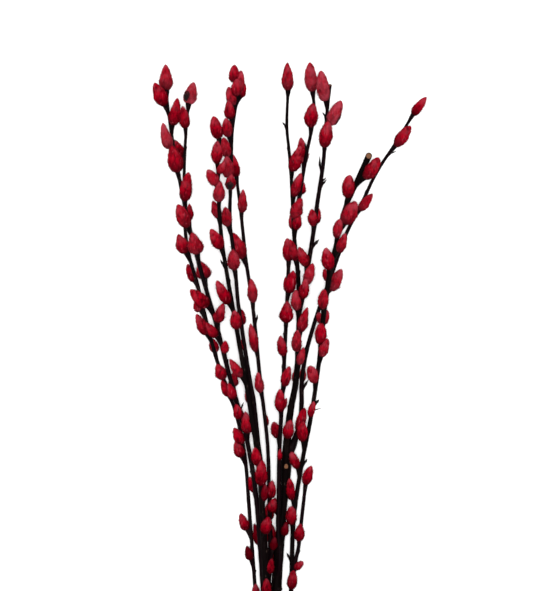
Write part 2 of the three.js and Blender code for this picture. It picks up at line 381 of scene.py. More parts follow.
class Seat:
    """Where a catkin or bud grows: its shoot, the y, turn and stand-off there, its axis and size."""

    def __init__(self, name, shoot, seat, axis, outward, length, width):
        self.name, self.shoot = name, shoot
        self.seat, self.axis, self.outward = seat, axis, outward
        self.length, self.width = length, width
        self.y = min(shoot.height_of(seat), shoot.high)
        centre = shoot.at(self.y)[0]
        right, over = shoot.turned(self.y)[1:]
        offset = seat - centre
        self.turn = math.atan2(offset @ over, offset @ right)
        self.stand_off = math.hypot(offset @ over, offset @ right)
        self.at_tip = name.endswith("_tip_catkin")


def seat_on_node(node):
    """The seat, axis and size of the catkin that a node's solid stands for."""
    corners = corners_of(node)
    from_middle = np.linalg.norm(corners - corners.mean(axis=0), axis=1)
    tip = corners[from_middle.argmax()]
    farthest_first = np.argsort(-np.linalg.norm(corners - tip, axis=1))
    seat = corners[farthest_first[SEAT_CORNERS]]
    axis = unit(tip - seat)
    across = corners - seat
    across -= (across @ axis)[:, None] * axis
    outward = across.sum(axis=0)
    if np.linalg.norm(outward) < MM:
        outward = UP - axis * axis[2]
    shoot = SHOOTS[max((name for name in SHOOTS if node.startswith(name + "_")), key=len)]
    width = 2 * np.linalg.norm(across, axis=1).max()
    return Seat(node, shoot, seat, axis, unit(outward), np.linalg.norm(tip - seat), width)


def seat_beside(name, shoot, height, turn, lean, length, width):
    """The seat of a catkin or bud that only this file makes, placed as the solids are."""
    y = BUTT_Y + height * MM
    length, width = REACH * length * MM, FULLNESS * width * MM
    centre, thickness = shoot.at(y)
    directions = shoot.turned(y)
    tilt = math.radians(lean)
    side, axis = aimed(directions, math.radians(turn), tilt)
    outward = side * math.cos(tilt) - directions[0] * math.sin(tilt)
    inner_reach = INNER_FLATNESS * width / 2
    clearance = max(inner_reach - WIDEST_AT * length * math.sin(tilt), SEAT_SHARE * inner_reach)
    seat = centre + side * (thickness + SEAT_GAP + clearance)
    return Seat(name, shoot, seat, axis, outward, length, width)


CATKIN_NODES = [node for node, slot in SLOT_OF.items() if slot == "catkin_fur"]
NODE_SEATS = [seat_on_node(node) for node in CATKIN_NODES]
SMALL_SEATS = {
    name: [seat_beside(f"{name}_small_{i}", SHOOTS[name], *row) for i, row in enumerate(rows)]
    for name, rows in SMALL_CATKINS.items()
}
BUD_SEATS = [seat_beside(f"bud_{i}", SHOOTS[row[0]], *row[1:]) for i, row in enumerate(DRY_BUDS)]


# ---- Settings ----

def length_setting(name, description, default):
    return FloatProperty(
        name=name, description=description, default=default, subtype="DISTANCE", unit="LENGTH")


def colour_setting(name, description, default):
    return FloatVectorProperty(
        name=name, description=description, default=default, subtype="COLOR")


class WillowBarkSettings(bpy.types.PropertyGroup):
    sides: IntProperty(
        name="Sides", description="Corners round a shoot", default=26, min=8)
    ring_step: length_setting(
        "Ring step", "Between the rings of corners along a shoot", 0.75 * MM)
    cushion_length: length_setting(
        "Cushion length", "The wood widens over this length towards a catkin", 11 * MM)
    nub_spacing: length_setting(
        "Nub spacing", "Between the small leaf scars along a shoot", 27 * MM)
    young: colour_setting(
        "Young bark", "Colour of the thin shoots", (0.0024, 0.0006, 0.0011))
    old: colour_setting(
        "Old bark", "Colour of the main stem and the two thick shoots", (0.0015, 0.0006, 0.0007))
    bloom: colour_setting(
        "Bloom", "Grey-brown streaks and patches in the bark", (0.011, 0.006, 0.0055))
    lenticel: colour_setting("Lenticels", "The small pale pores", (0.04, 0.026, 0.02))
    cut_wood: colour_setting("Cut wood", "Colour of a dry cut face", (0.17, 0.062, 0.018))


class WillowFurSettings(bpy.types.PropertyGroup):
    density: FloatProperty(
        name="Hairs per square mm", description="Hairs on each square millimetre of a catkin",
        default=2.6, min=0)
    hair_length: length_setting("Hair length", "Length of a hair on a middling catkin", 1.9 * MM)
    hair_width: length_setting("Hair width", "Width of a tuft of hair at its root", 0.17 * MM)
    # Deep red is painted shade: at the seat, between the tufts and on shaded catkins.
    deep: colour_setting(
        "Deep red", "Fur at the seat and between the tufts", (0.035, 0.0, 0.0016))
    crimson: colour_setting("Crimson", "Most of the fur", (0.29, 0.0005, 0.0085))
    # Rose also colours the pale streaks that are painted highlights.
    rose: colour_setting(
        "Rose", "Fur towards the tip, and the ends of the hairs", (0.33, 0.037, 0.056))
    pale: colour_setting("Pale rose", "The palest hairs", (0.5, 0.17, 0.19))


class WillowStageSettings(bpy.types.PropertyGroup):
    camera_height: length_setting("Camera height", "Above the floor", 5.0)
    view_height: length_setting(
        "View height", "Length of the branch that the picture is tall", 472.8 * MM)
    view_middle: length_setting(
        "View middle", "Height above the cut butt in the picture's middle", 359.4 * MM)
    floor: colour_setting("Floor", "Colour of the floor", (0.97, 0.97, 0.97))


# ---- Materials ----

# Where a mix node keeps its colour sockets, which share their names with its other sockets.
MIX_SHARE = 0
MIX_COLOURS = (6, 7)
MIX_RESULT = 2

# The fur's material, dyed crimson, also holds painted shade and painted highlights.
FUR_NAME = "dyed_catkin_fur"
# How much each surface shines, from 0 for not at all.
BARK_SHINE = 0.015
WOOD_SHINE = 0.5
FUR_SHINE = 0.0
SCALE_SHINE = 0.08
FLOOR_SHINE = 0.1
SCALE_EDGE = (0.06, 0.004, 0.008)


class Nodes:
    """Short ways to add and join the nodes of one material."""

    def __init__(self, name):
        self.material = bpy.data.materials.new(name)
        self.material.use_nodes = True
        self.tree = self.material.node_tree
        self.shader = self.tree.nodes["Principled BSDF"]

    def add(self, kind, inputs=None, **settings):
        node = self.tree.nodes.new(kind)
        for name, value in settings.items():
            setattr(node, name, value)
        for name, value in (inputs or {}).items():
            self.put(node, name, value)
        return node

    def put(self, node, name, value):
        if isinstance(value, bpy.types.NodeSocket):
            self.tree.links.new(value, node.inputs[name])
        else:
            node.inputs[name].default_value = value

    def shade(self, name):
        return self.add("ShaderNodeAttribute", attribute_name=name).outputs["Fac"]

    def mix(self, share, a, b):
        node = self.add("ShaderNodeMix", data_type="RGBA")
        self.put(node, MIX_SHARE, share)
        for socket, colour in zip(MIX_COLOURS, (a, b)):
            is_node = isinstance(colour, bpy.types.NodeSocket)
            self.put(node, socket, colour if is_node else (*colour, 1))
        return node.outputs[MIX_RESULT]

    def range(self, value, low, high, to_low=0.0, to_high=1.0):
        inputs = {"Value": value, "From Min": low, "From Max": high,
                  "To Min": to_low, "To Max": to_high}
        return self.add("ShaderNodeMapRange", inputs).outputs["Result"]

    def maths(self, operation, a, b=0.0):
        node = self.add("ShaderNodeMath", operation=operation)
        self.put(node, 0, a)
        self.put(node, 1, b)
        return node.outputs[0]

    def place(self, stretch=(1, 1, 1)):
        where = self.add("ShaderNodeTexCoord").outputs["Object"]
        return self.add("ShaderNodeMapping", {"Vector": where, "Scale": stretch}).outputs[0]

    def noise(self, place, scale, detail=4.0, roughness=0.55):
        inputs = {"Vector": place, "Scale": scale, "Detail": detail, "Roughness": roughness}
        return self.add("ShaderNodeTexNoise", inputs).outputs["Fac"]

    def finish(self, base, roughness, shine):
        self.put(self.shader, "Base Color", base)
        self.put(self.shader, "Roughness", roughness)
        self.put(self.shader, "Specular IOR Level", shine)

    def bump(self, height, strength, distance):
        inputs = {"Height": height, "Strength": strength, "Distance": distance}
        self.put(self.shader, "Normal", self.add("ShaderNodeBump", inputs).outputs["Normal"])


def bark_material(name, colour, settings, roughness):
    """Near-black willow bark: lengthwise streaks, a grey-brown bloom and small pale pores."""
    nodes = Nodes(name)
    streaks = nodes.noise(nodes.place((1, 0.1, 1)), 900, 6, 0.6)
    patches = nodes.noise(nodes.place((1, 0.35, 1)), 110, 3)
    fine = nodes.noise(nodes.place((1, 0.3, 1)), 2600, 4)
    warmth = tuple(1.9 * channel for channel in colour)
    base = nodes.mix(nodes.range(streaks, 0.42, 0.66), colour, warmth)
    bloomed = nodes.maths("MULTIPLY", nodes.range(patches, 0.5, 0.72), nodes.range(streaks, 0.35, 0.6))
    base = nodes.mix(nodes.maths("MULTIPLY", bloomed, 0.6), base, tuple(settings.bloom))
    scarred = nodes.maths("MULTIPLY", nodes.shade("scar"), nodes.range(fine, 0.35, 0.65))
    base = nodes.mix(nodes.maths("MULTIPLY", scarred, 0.75), base, tuple(settings.bloom))
    cells = nodes.add("ShaderNodeTexVoronoi", {
        "Vector": nodes.place((1, 0.45, 1)), "Scale": 260.0, "Randomness": 1.0})
    pores = nodes.range(cells.outputs["Distance"], 0.16, 0.08)
    base = nodes.mix(nodes.maths("MULTIPLY", pores, 0.55), base, tuple(settings.lenticel))
    nodes.finish(base, nodes.range(streaks, 0.3, 0.7, roughness - 0.12, roughness + 0.14), BARK_SHINE)
    ridges, specks = nodes.maths("MULTIPLY", streaks, 0.8), nodes.maths("MULTIPLY", fine, 0.25)
    relief = nodes.maths("ADD", nodes.maths("ADD", ridges, specks), nodes.maths("MULTIPLY", pores, 0.3))
    nodes.bump(relief, 0.55, 0.25 * MM)
    return nodes.material


def cut_wood_material(settings):
    """A dry cut face: orange-brown, with growth rings, rays and a darker rim."""
    nodes = Nodes("dry_cut_wood")
    grain = nodes.noise(nodes.place(), 900, 5)
    rings = nodes.maths("SINE", nodes.maths("MULTIPLY", nodes.shade("ring"), 26.0))
    dark = tuple(0.4 * channel for channel in settings.cut_wood)
    base = nodes.mix(nodes.range(rings, -1, 1, 0.0, 0.55), tuple(settings.cut_wood), dark)
    base = nodes.mix(nodes.range(grain, 0.45, 0.75, 0.0, 0.7), base, dark)
    base = nodes.mix(nodes.range(nodes.shade("ring"), 0.8, 0.98), base, tuple(settings.bloom))
    nodes.finish(base, nodes.range(grain, 0.3, 0.7, 0.7, 0.9), WOOD_SHINE)
    nodes.bump(nodes.maths("ADD", grain, nodes.maths("MULTIPLY", rings, 0.2)), 0.6, 0.3 * MM)
    return nodes.material


def fur_material(settings):
    """Dyed catkin fur, crimson with rose at the tips. The deep red at the seat and between the tufts is
    painted shade, as is the deep red of shaded catkins, and the pale rose streaks are painted highlights.
    """
    nodes = Nodes(FUR_NAME)
    tufts = nodes.noise(nodes.place((1, 0.45, 1)), 420, 4, 0.6)
    clouds = nodes.noise(nodes.place(), 130, 2)
    strands = nodes.noise(nodes.place((1, 0.2, 1)), 3200, 3)
    deep, crimson = tuple(settings.deep), tuple(settings.crimson)
    rose, pale = tuple(settings.rose), tuple(settings.pale)
    along, rise, pink = nodes.shade("along"), nodes.shade("rise"), nodes.shade("pink")
    # Painted shade: the fur darkens to deep red towards the seat and in the gaps between the tufts.
    base = nodes.mix(nodes.range(along, -0.02, 0.5), deep, crimson)
    base = nodes.mix(nodes.range(tufts, 0.55, 0.36, 0.0, 0.8), base, deep)
    upper = nodes.range(along, 0.45, 1.0, 0.0, 0.9)
    towards_tip = nodes.maths("MULTIPLY", upper, nodes.range(clouds, 0.44, 0.6, 0.05, 1.0))
    base = nodes.mix(towards_tip, base, rose)
    # Painted highlights: sparse pale rose streaks along the fur.
    painted_highlight_streaks = nodes.range(nodes.noise(nodes.place((1, 0.22, 1)), 620, 3), 0.6, 0.72, 0.0, 0.8)
    base = nodes.mix(painted_highlight_streaks, base, rose)
    ends = nodes.maths("MULTIPLY", rise, nodes.range(along, 0.2, 0.9, 0.0, 0.7))
    base = nodes.mix(nodes.maths("MULTIPLY", ends, nodes.range(tufts, 0.4, 0.7)), base, rose)
    # Painted shade: where the pink shade is below 0, the fur is mixed towards deep red.
    base = nodes.mix(nodes.range(pink, 0.0, -2.0, 0.0, 0.85), base, deep)
    pinker = nodes.maths("MULTIPLY", pink, nodes.range(clouds, 0.4, 0.62, 0.25, 0.9))
    base = nodes.mix(pinker, base, rose)
    palest = nodes.maths("MULTIPLY", nodes.maths("MULTIPLY", pink, rise), nodes.range(tufts, 0.45, 0.7))
    base = nodes.mix(palest, base, pale)
    nodes.finish(base, nodes.range(strands, 0.3, 0.7, 0.62, 0.85), FUR_SHINE)
    nodes.bump(nodes.maths("ADD", strands, tufts), 0.5, 0.2 * MM)
    return nodes.material


def scale_material(settings):
    """A dry bud scale: smooth and dark olive-brown, redder towards its edge."""
    nodes = Nodes("bud_scale")
    streaks = nodes.noise(nodes.place((1, 0.15, 1)), 1100, 4)
    dark = tuple(1.2 * channel for channel in settings.young)
    base = nodes.mix(nodes.range(streaks, 0.35, 0.65, 0.0, 0.6), dark, tuple(settings.bloom))
    base = nodes.mix(nodes.range(nodes.shade("ring"), 0.5, 1.0, 0.0, 0.7), base, SCALE_EDGE)
    nodes.finish(base, nodes.range(streaks, 0.3, 0.7, 0.34, 0.55), SCALE_SHINE)
    nodes.bump(streaks, 0.4, 0.15 * MM)
    return nodes.material


def floor_material(colour):
    nodes = Nodes("pale_floor")
    nodes.finish((*colour, 1), 0.9, FLOOR_SHINE)
    return nodes.material


# ---- Bark ----

CUT_ENDS = {"right_shoot": 0.95, "right_fork_shoot": 0.35}  # a cut tip and how steep its face is
CUT_RUN = 5 * MM  # the rings lean over this length towards a cut tip
BUTT_SLANT = 0.6  # how steep the cut through the main stem is
BUTT_RUN = 12 * MM
# A cut face, from its rim inwards: the share of its radius, and how far each ring steps down, in mm.
CUT_SHARES = (1.0, 0.9, 0.84, 0.55, 0.28)
CUT_DROPS = (0.0, -0.1, 0.22, 0.1, 0.16)
RIM_RINGS = 2  # of these still have bark on them

NECK_SHARE = 0.42  # half width of the wood under a catkin, of the catkin's half width
MIDDLING_WIDTH = 9 * MM  # a middling catkin is this wide
CUSHION_ROOT = 0.85  # half width of a cushion where it starts, of the shoot's half thickness
CUSHION_TOP = 2.2 * MM  # a cushion rounds off over this length above the seat
CUSHION_DROP = 0.4 * MM  # and starts to, this far below it
BUD_NECK_SHARE = 0.42  # half width of the cushion under a dry bud, of the bud's width
BUD_CUSHION = 6 * MM
NUB_CUSHION = 5.5 * MM
NUB_CLEARANCE = 5 * MM  # between a leaf scar and a cushion
LEAF_TURN = math.radians(137.5)  # from one leaf scar to the next
FLARE = 9 * MM  # the wood spreads over this length below the catkin at a tip
FLARE_LIP = 0.2 * MM
COLLAR = 0.4  # how much thicker a shoot's wood is where it leaves its parent
COLLAR_DROP = 3 * MM
COLLAR_RUN = 7 * MM
CUSHION_BLEND = 0.35 * MM
SCAR_HEIGHT = 1.6 * MM
WRINKLE_STRETCH = (1, 0.22, 1)
WRINKLE_SIZE = 0.9 * MM
WRINKLE_DEPTH = {"old_bark": 0.075 * MM, "young_bark": 0.05 * MM}
WRINKLE_SEED = 3.1
KNOT_SIZE = 5 * MM
KNOT_SHARE = 0.05
KNOT_SEED = 7.7

# The pruned stub on the main stem.
STUB_HEIGHT = 221.6 * MM  # above the butt
STUB_TURN = math.radians(90)
STUB_LEAN = math.radians(80)
STUB_LENGTH = 5.2 * MM
STUB_WIDTH = 3.6 * MM
STUB_OVAL = 1.3
STUB_SIDES = 24
STUB_RINGS = 14


def cushion_reach(shoot, heights, angles, turn, y, stand_off, neck, run):
    """How far a bud cushion carries the bark from the centreline, for each ring and angle."""
    climb = np.clip((heights - (y - run)) / run, 0, 1) ** 1.6
    above = 1 - soft_step((heights - y + CUSHION_DROP) / CUSHION_TOP)
    thickness = shoot.at(heights)[1]
    offset = (stand_off * climb * above)[:, None]
    radius = ((thickness * CUSHION_ROOT * (1 - climb) + neck * climb) * above)[:, None]
    apart = angles[None, :] - turn
    inside = radius ** 2 - (offset * np.sin(apart)) ** 2
    return np.where(inside > 0, offset * np.cos(apart) + np.sqrt(np.maximum(inside, 0)), 0)


def cushions_on(shoot, settings):
    """The cushions of a shoot's catkins and dry buds, and the small leaf scars between them."""
    found = []
    for seat in [*NODE_SEATS, *SMALL_SEATS[shoot.name]]:
        if seat.shoot is shoot and not seat.at_tip:
            run = settings.cushion_length * (0.7 + 0.3 * seat.width / MIDDLING_WIDTH)
            found.append((seat.turn, seat.y, seat.stand_off, NECK_SHARE * seat.width / 2, run))
    for seat in BUD_SEATS:
        if seat.shoot is shoot:
            found.append((seat.turn, seat.y, seat.stand_off, BUD_NECK_SHARE * seat.width, BUD_CUSHION))
    draw = random_for(shoot.name + "_nubs")
    taken = np.array([cushion[1] for cushion in found] or [1.0])
    y, turn = shoot.fork + 12 * MM, draw.uniform(0, 2 * math.pi)
    while y < shoot.high - 10 * MM:
        if abs(taken - y).min() > NUB_CLEARANCE:
            thickness = float(shoot.at(y)[1])
            found.append((turn, y, thickness * 1.02, 0.45 * thickness, NUB_CUSHION))
        y += settings.nub_spacing * draw.uniform(0.6, 1.3)
        turn += LEAF_TURN
    return found


def tip_flare(shoot, heights, thickness):
    """The wood spreads into the cup of the catkin at the shoot's tip."""
    tips = [seat for seat in NODE_SEATS if seat.shoot is shoot and seat.at_tip]
    if not tips:
        return thickness
    spread = soft_step((heights - (shoot.high - FLARE)) / FLARE) ** 1.5
    return thickness + (NECK_SHARE * tips[0].width / 2 + FLARE_LIP - thickness) * spread


def grow_bark(shoot, settings):
    """Corners and scar shade of one shoot's bark, ring by ring from its root to its tip."""
    count = int((shoot.high - shoot.low) / settings.ring_step)
    heights = np.linspace(shoot.low, shoot.high, count)
    angles = full_turn(settings.sides)
    centres, thickness = shoot.at(heights)
    along, right, over = shoot.turned(heights)
    if shoot.low < shoot.fork:
        collar = np.exp(-((heights - shoot.fork + COLLAR_DROP) / COLLAR_RUN) ** 2)
        thickness = thickness * (1 + COLLAR * collar)
    thickness = tip_flare(shoot, heights, thickness)
    directions = (
        right[:, None] * np.cos(angles)[None, :, None] + over[:, None] * np.sin(angles)[None, :, None]
    )
    reach = np.repeat(thickness[:, None], settings.sides, axis=1)
    scar = np.zeros_like(reach)
    for turn, y, stand_off, neck, run in cushions_on(shoot, settings):
        bulge = cushion_reach(shoot, heights, angles, turn, y, stand_off, neck, run)
        more = soft_step((bulge - reach + CUSHION_BLEND) / (2 * CUSHION_BLEND))
        reach = reach * (1 - more) + np.maximum(bulge, reach) * more
        near = np.exp(-((heights - y) / SCAR_HEIGHT) ** 2)[:, None]
        scar = np.maximum(scar, near * (bulge > 0.6 * reach))
    surface = centres[:, None] + directions * reach[..., None]
    stretched = (surface * np.array(WRINKLE_STRETCH)).reshape(-1, 3)
    wrinkles = lumps(stretched, WRINKLE_SIZE, WRINKLE_SEED).reshape(reach.shape)
    knots = lumps(surface.reshape(-1, 3), KNOT_SIZE, KNOT_SEED).reshape(reach.shape)
    depth = WRINKLE_DEPTH[SLOT_OF[shoot.name]]
    reach = reach * (1 + KNOT_SHARE * knots) + depth * wrinkles * np.sqrt(reach / MM)
    slant = slant_along(shoot, heights)
    shift = slant[:, None] * np.sin(angles)[None, :] * reach
    corners = centres[:, None] + directions * reach[..., None] - along[:, None] * shift[..., None]
    return corners, scar


def slant_along(shoot, heights):
    """How far the rings lean near a cut end, so that its face is not square to the shoot."""
    slant = CUT_ENDS.get(shoot.name, 0) * soft_step((heights - shoot.high + CUT_RUN) / CUT_RUN)
    if shoot.name == "main_stem":
        slant = slant + BUTT_SLANT * soft_step((shoot.low + BUTT_RUN - heights) / BUTT_RUN)
    return slant


def close_end(skin, ring, along, is_cut, sides, flip):
    """Closes a shoot's end: a cut face has a rim of bark, a step down and growth rings."""
    middle = ring.mean(axis=0)
    shares, drops = (CUT_SHARES, CUT_DROPS) if is_cut else ((1.0, 0.6), (0.0, -0.3))
    rings = [middle + (ring - middle) * share - along * drop * MM for share, drop in zip(shares, drops)]
    tip = (middle - along * (0.05 if is_cut else -0.4) * MM)[None]
    corners = np.concatenate([*rings, tip])
    quads = ring_quads(len(rings), sides)
    fan = ring_fan((len(rings) - 1) * sides, len(corners) - 1, sides)
    if flip:
        quads, fan = quads[:, ::-1], fan[:, ::-1]
    ring_shade = np.concatenate([np.repeat(shares, sides), [0.0]])
    rim_quads = RIM_RINGS * sides if is_cut else len(quads)
    skin.add(corners, [quads[:rim_quads]], finish=0, ring=ring_shade, scar=0.4)
    if is_cut:
        skin.add(corners, [quads[rim_quads:], fan], finish=1, ring=ring_shade)
    else:
        skin.add(corners, [fan], finish=0, ring=ring_shade, scar=0.4)


def grow_stub(skin, shoot):
    """A short pruned side stub with a cut face."""
    y = BUTT_Y + STUB_HEIGHT
    centre, thickness = shoot.at(y)
    directions = shoot.turned(y)
    side, axis = aimed(directions, STUB_TURN, STUB_LEAN)
    across = np.cross(axis, directions[1])
    angles = full_turn(STUB_SIDES)
    start = centre + side * thickness * 0.2
    rings = []
    for share in np.linspace(0, 1, STUB_RINGS):
        swell = 1.5 - 0.5 * soft_step(share * 1.3)
        radius = STUB_WIDTH / 2 * swell * (1 + 0.05 * np.sin(3 * angles + 9 * share))
        ring = circle(angles, np.cross(across, axis), STUB_OVAL * across)
        rings.append(start + axis * STUB_LENGTH * share + ring * radius[:, None])
    skin.add(np.concatenate(rings), [ring_quads(len(rings), STUB_SIDES)[:, ::-1]], scar=0.5)
    close_end(skin, rings[-1], axis, True, STUB_SIDES, True)


class WILLOW_OT_bark(bpy.types.Operator):
    """Grow the bark of every shoot, with its forks, bud cushions, leaf scars and cut ends"""

    bl_idname = "willow.bark"
    bl_label = "Bark"

    def execute(self, context):
        settings = context.scene.willow_bark
        barks = {
            "old_bark": bark_material("rough_willow_bark", tuple(settings.old), settings, 0.62),
            "young_bark": bark_material("smooth_willow_bark", tuple(settings.young), settings, 0.48),
        }
        cut_wood = cut_wood_material(settings)
        for shoot in SHOOTS.values():
            slot = SLOT_OF[shoot.name]
            skin = Skin(("scar", "ring"))
            corners, scar = grow_bark(shoot, settings)
            sides = settings.sides
            faces = ring_quads(len(corners), sides)[:, ::-1]
            skin.add(corners.reshape(-1, 3), [faces], scar=scar.ravel())
            ends = shoot.turned(np.array([shoot.low, shoot.high]))[0]
            is_butt = shoot.name == "main_stem"
            close_end(skin, corners[0], -ends[0], is_butt, sides, False)
            close_end(skin, corners[-1], ends[1], shoot.name in CUT_ENDS, sides, True)
            if is_butt:
                grow_stub(skin, shoot)
            skin.piece(f"{shoot.name}_bark", [barks[slot], cut_wood], [shoot.name])
        return {"FINISHED"}


# ---- Catkins ----

GOLDEN_TURN = math.pi * (3 - math.sqrt(5))
BODY_SHARE = 0.98  # of the catkin's half width, to which the hair adds
FOOT_SHARE = 0.07  # of its length, how far the catkin reaches below its seat
BODY_END = 0.985  # of its length, where the body closes and the last hairs stand
BODY_SIDES = 28
BODY_RINGS = 28
CAP = 0.3 * MM  # the body's two end corners stand out this far
INNER_SHARE = 0.84  # of its half width that a side catkin keeps towards its shoot
# Lumps on the body, from big to small: their depth and how closely they sit round and along it.
RELIEF = ((0.11, (1, 1, 1)), (0.13, (2.6, 2.6, 2)), (0.1, (5, 5, 4)))
FUR_STEPS = 200  # of the table that spreads the hairs evenly
HAIR_DEPTH = 0.12 * MM  # a hair starts this far under the body
HAIR_RISE = (0.15, 0.15, 0.15, 1.0)  # a hair's shade at its three root corners and its tip
FUR_SHADES = ("along", "rise", "pink")


class Catkin:
    """The furry body of one catkin, as points for a share of its length and an angle round it."""

    def __init__(self, seat, draw):
        self.seat = seat
        self.across = np.cross(seat.axis, seat.outward)
        roundness = ROUNDNESS_OF[seat.shoot.name] + draw.uniform(-0.25, 0.25)
        self.roundness = min(max(roundness, 0), 1)
        self.widest = draw.uniform(0.22, 0.34) + 0.06 * self.roundness
        self.base = draw.uniform(0.55, 0.7)
        self.curve = 1.2 + 0.8 * self.roundness
        self.narrowing = 0.76 - 0.16 * self.roundness
        self.hook = draw.uniform(-0.03, 0.09, 2) * seat.length
        self.seed = draw.uniform(0, 100, 3)
        self.half_width = BODY_SHARE * seat.width / 2
        self.inner = 1 if seat.at_tip else INNER_SHARE
        self.twist = draw.uniform(-1.2, 1.2)

    def profile(self, share):
        lower = np.clip(share / self.widest, 0, 1)
        upper = np.clip((share - self.widest) / (1 - self.widest), 0, 1)
        swell = self.base + (1 - self.base) * np.sin(lower * math.pi / 2) ** 0.7
        taper = (1 - self.narrowing * upper ** self.curve) * np.sqrt(1 - upper ** 9)
        foot = 1 - 0.45 * np.clip(-share / FOOT_SHARE, 0, 1) ** 2
        return swell * taper * foot

    def points(self, share, angle):
        """Places on the body's surface; share and angle are flat arrays of the same length."""
        around = circle(angle, self.seat.outward, self.across)
        flat = np.where(np.cos(angle) < 0, self.inner, 1)[:, None]
        outward_part = (around @ self.seat.outward)[:, None] * self.seat.outward
        around = around - outward_part * (1 - flat)
        middle = self.seat.seat + self.seat.axis * (share * self.seat.length)[:, None]
        middle = middle + (share * np.abs(share))[:, None] * (
            self.hook[0] * self.seat.outward + self.hook[1] * self.across
        )
        swirl = angle + self.twist * share
        form = np.column_stack([np.cos(swirl) * 1.6, np.sin(swirl) * 1.6, share * 3.2])
        relief = 1
        for depth, closeness in RELIEF:
            relief = relief + depth * lumps(form * closeness, 1, self.seed)
        return middle + around * (self.profile(share) * self.half_width * relief)[:, None]

    def body(self, skin, pink):
        shares = np.linspace(-FOOT_SHARE, BODY_END, BODY_RINGS)
        share, angle = np.repeat(shares, BODY_SIDES), np.tile(full_turn(BODY_SIDES), BODY_RINGS)
        rings = self.points(share, angle)
        foot = rings[:BODY_SIDES].mean(axis=0) - self.seat.axis * CAP
        tip = rings[-BODY_SIDES:].mean(axis=0) + self.seat.axis * CAP
        along = np.concatenate([share, [0, 1]])
        faces = spindle(BODY_RINGS, BODY_SIDES)
        skin.add(np.concatenate([rings, [foot, tip]]), faces, along=along, rise=0.0, pink=pink)

    def fur(self, skin, pink, draw, settings):
        """Hairs combed towards the tip, each a thin pointed spike with three sides."""
        seat = self.seat
        grid = np.linspace(-FOOT_SHARE, 1, FUR_STEPS)
        girth = self.profile(grid) + 0.08
        surface = 2 * math.pi * self.half_width * girth.mean() * seat.length / MM ** 2
        count = int(surface * settings.density)
        reached = np.cumsum(girth) / girth.sum()
        order = (np.arange(count) + draw.uniform(0, 1, count)) / count
        share = np.clip(np.interp(order, reached, grid), -FOOT_SHARE, BODY_END)
        angle = np.arange(count) * GOLDEN_TURN + draw.normal(0, 0.12, count)
        root = self.points(share, angle)
        ahead = self.points(np.minimum(share + 0.02, 1), angle)
        beside = self.points(share, angle + 0.05)
        meridian = unit(ahead - root + seat.axis * 0.02 * MM)
        outward = unit(np.cross(beside - root, meridian))
        sideways = np.cross(meridian, outward)
        spot = np.column_stack([np.cos(angle) * 2.6, np.sin(angle) * 2.6, share * 7])
        clump = lumps(spot, 1, self.seed)
        lift = 0.36 + 0.45 * clump + draw.normal(0, 0.12, count) + 0.25 * (share < 0.08)
        sway = 0.35 * np.roll(clump, 3) + draw.normal(0, 0.14, count)
        heading = unit(meridian + outward * lift[:, None] + sideways * sway[:, None])
        size = (seat.width / MIDDLING_WIDTH) ** 0.5 * draw.uniform(0.65, 1.2, count) * (1 + 0.6 * clump)
        shorter_foot = 0.6 + 0.4 * soft_step(share / 0.15)
        length = settings.hair_length * size * shorter_foot * (1 - 0.3 * share ** 3)
        u = unit(np.cross(heading, outward))
        v = np.cross(heading, u)
        half = settings.hair_width / 2
        foot = root - outward * HAIR_DEPTH
        corners = np.stack([
            foot + u * half,
            foot - u * half * 0.5 + v * half * 0.8,
            foot - u * half * 0.5 - v * half * 0.8,
            foot + heading * length[:, None],
        ], axis=1).reshape(-1, 3)
        first = np.arange(count)[:, None] * 4
        spikes = [first + [0, 1, 3], first + [1, 2, 3], first + [2, 0, 3], first + [0, 2, 1]]
        skin.add(corners, spikes, along=np.repeat(share, 4), rise=np.tile(HAIR_RISE, count), pink=pink)


def grow_catkin(skin, seat, settings):
    draw = random_for(seat.name)
    pink = PINK_AND_SHADED_CATKINS.get(seat.name, draw.uniform(0, 0.5) ** 1.6)
    # Painted shade: catkins low on the branch are made a deeper red.
    pink -= soft_step((SHADED_BELOW - (seat.y - BUTT_Y)) / (SHADED_BELOW - SHADED_MOST))
    catkin = Catkin(seat, draw)
    catkin.body(skin, pink)
    catkin.fur(skin, pink, draw, settings)


class WILLOW_OT_catkins(bpy.types.Operator):
    """Grow each catkin that has a solid of its own"""

    bl_idname = "willow.catkins"
    bl_label = "Catkins"

    def execute(self, context):
        settings = context.scene.willow_fur
        material = fur_material(settings)
        for seat in NODE_SEATS:
            skin = Skin(FUR_SHADES)
            grow_catkin(skin, seat, settings)
            skin.piece(f"{seat.name}_fur", [material], [seat.name])
        return {"FINISHED"}


class WILLOW_OT_small_catkins(bpy.types.Operator):
    """Grow the smaller catkins, those of each shoot as one piece"""

    bl_idname = "willow.small_catkins"
    bl_label = "Small catkins"

    def execute(self, context):
        settings = context.scene.willow_fur
        material = bpy.data.materials[FUR_NAME]
        for name, seats in SMALL_SEATS.items():
            skin = Skin(FUR_SHADES)
            for seat in seats:
                grow_catkin(skin, seat, settings)
            skin.piece(f"{name}_small_catkins", [material])
        return {"FINISHED"}


# ---- Bud scales and dry buds ----

# The catkins that still wear their bud scale, and which way it faces, in degrees from outward.
SCALED_CATKINS = {
    "low_left_shoot_tip_catkin": -38, "left_fork_shoot_small_3": 0, "low_left_shoot_small_10": 75,
    "right_fork_shoot_catkin_4": 20,
}
SCALE_SIDES = 14
SCALE_RINGS = 12
SCALE_LIFT = 0.45 * MM  # from the body to a scale's foot
SCALE_PEEL = 0.35 * MM  # how much more its tip stands off
BUD_SIDES = 14
BUD_RINGS = 18


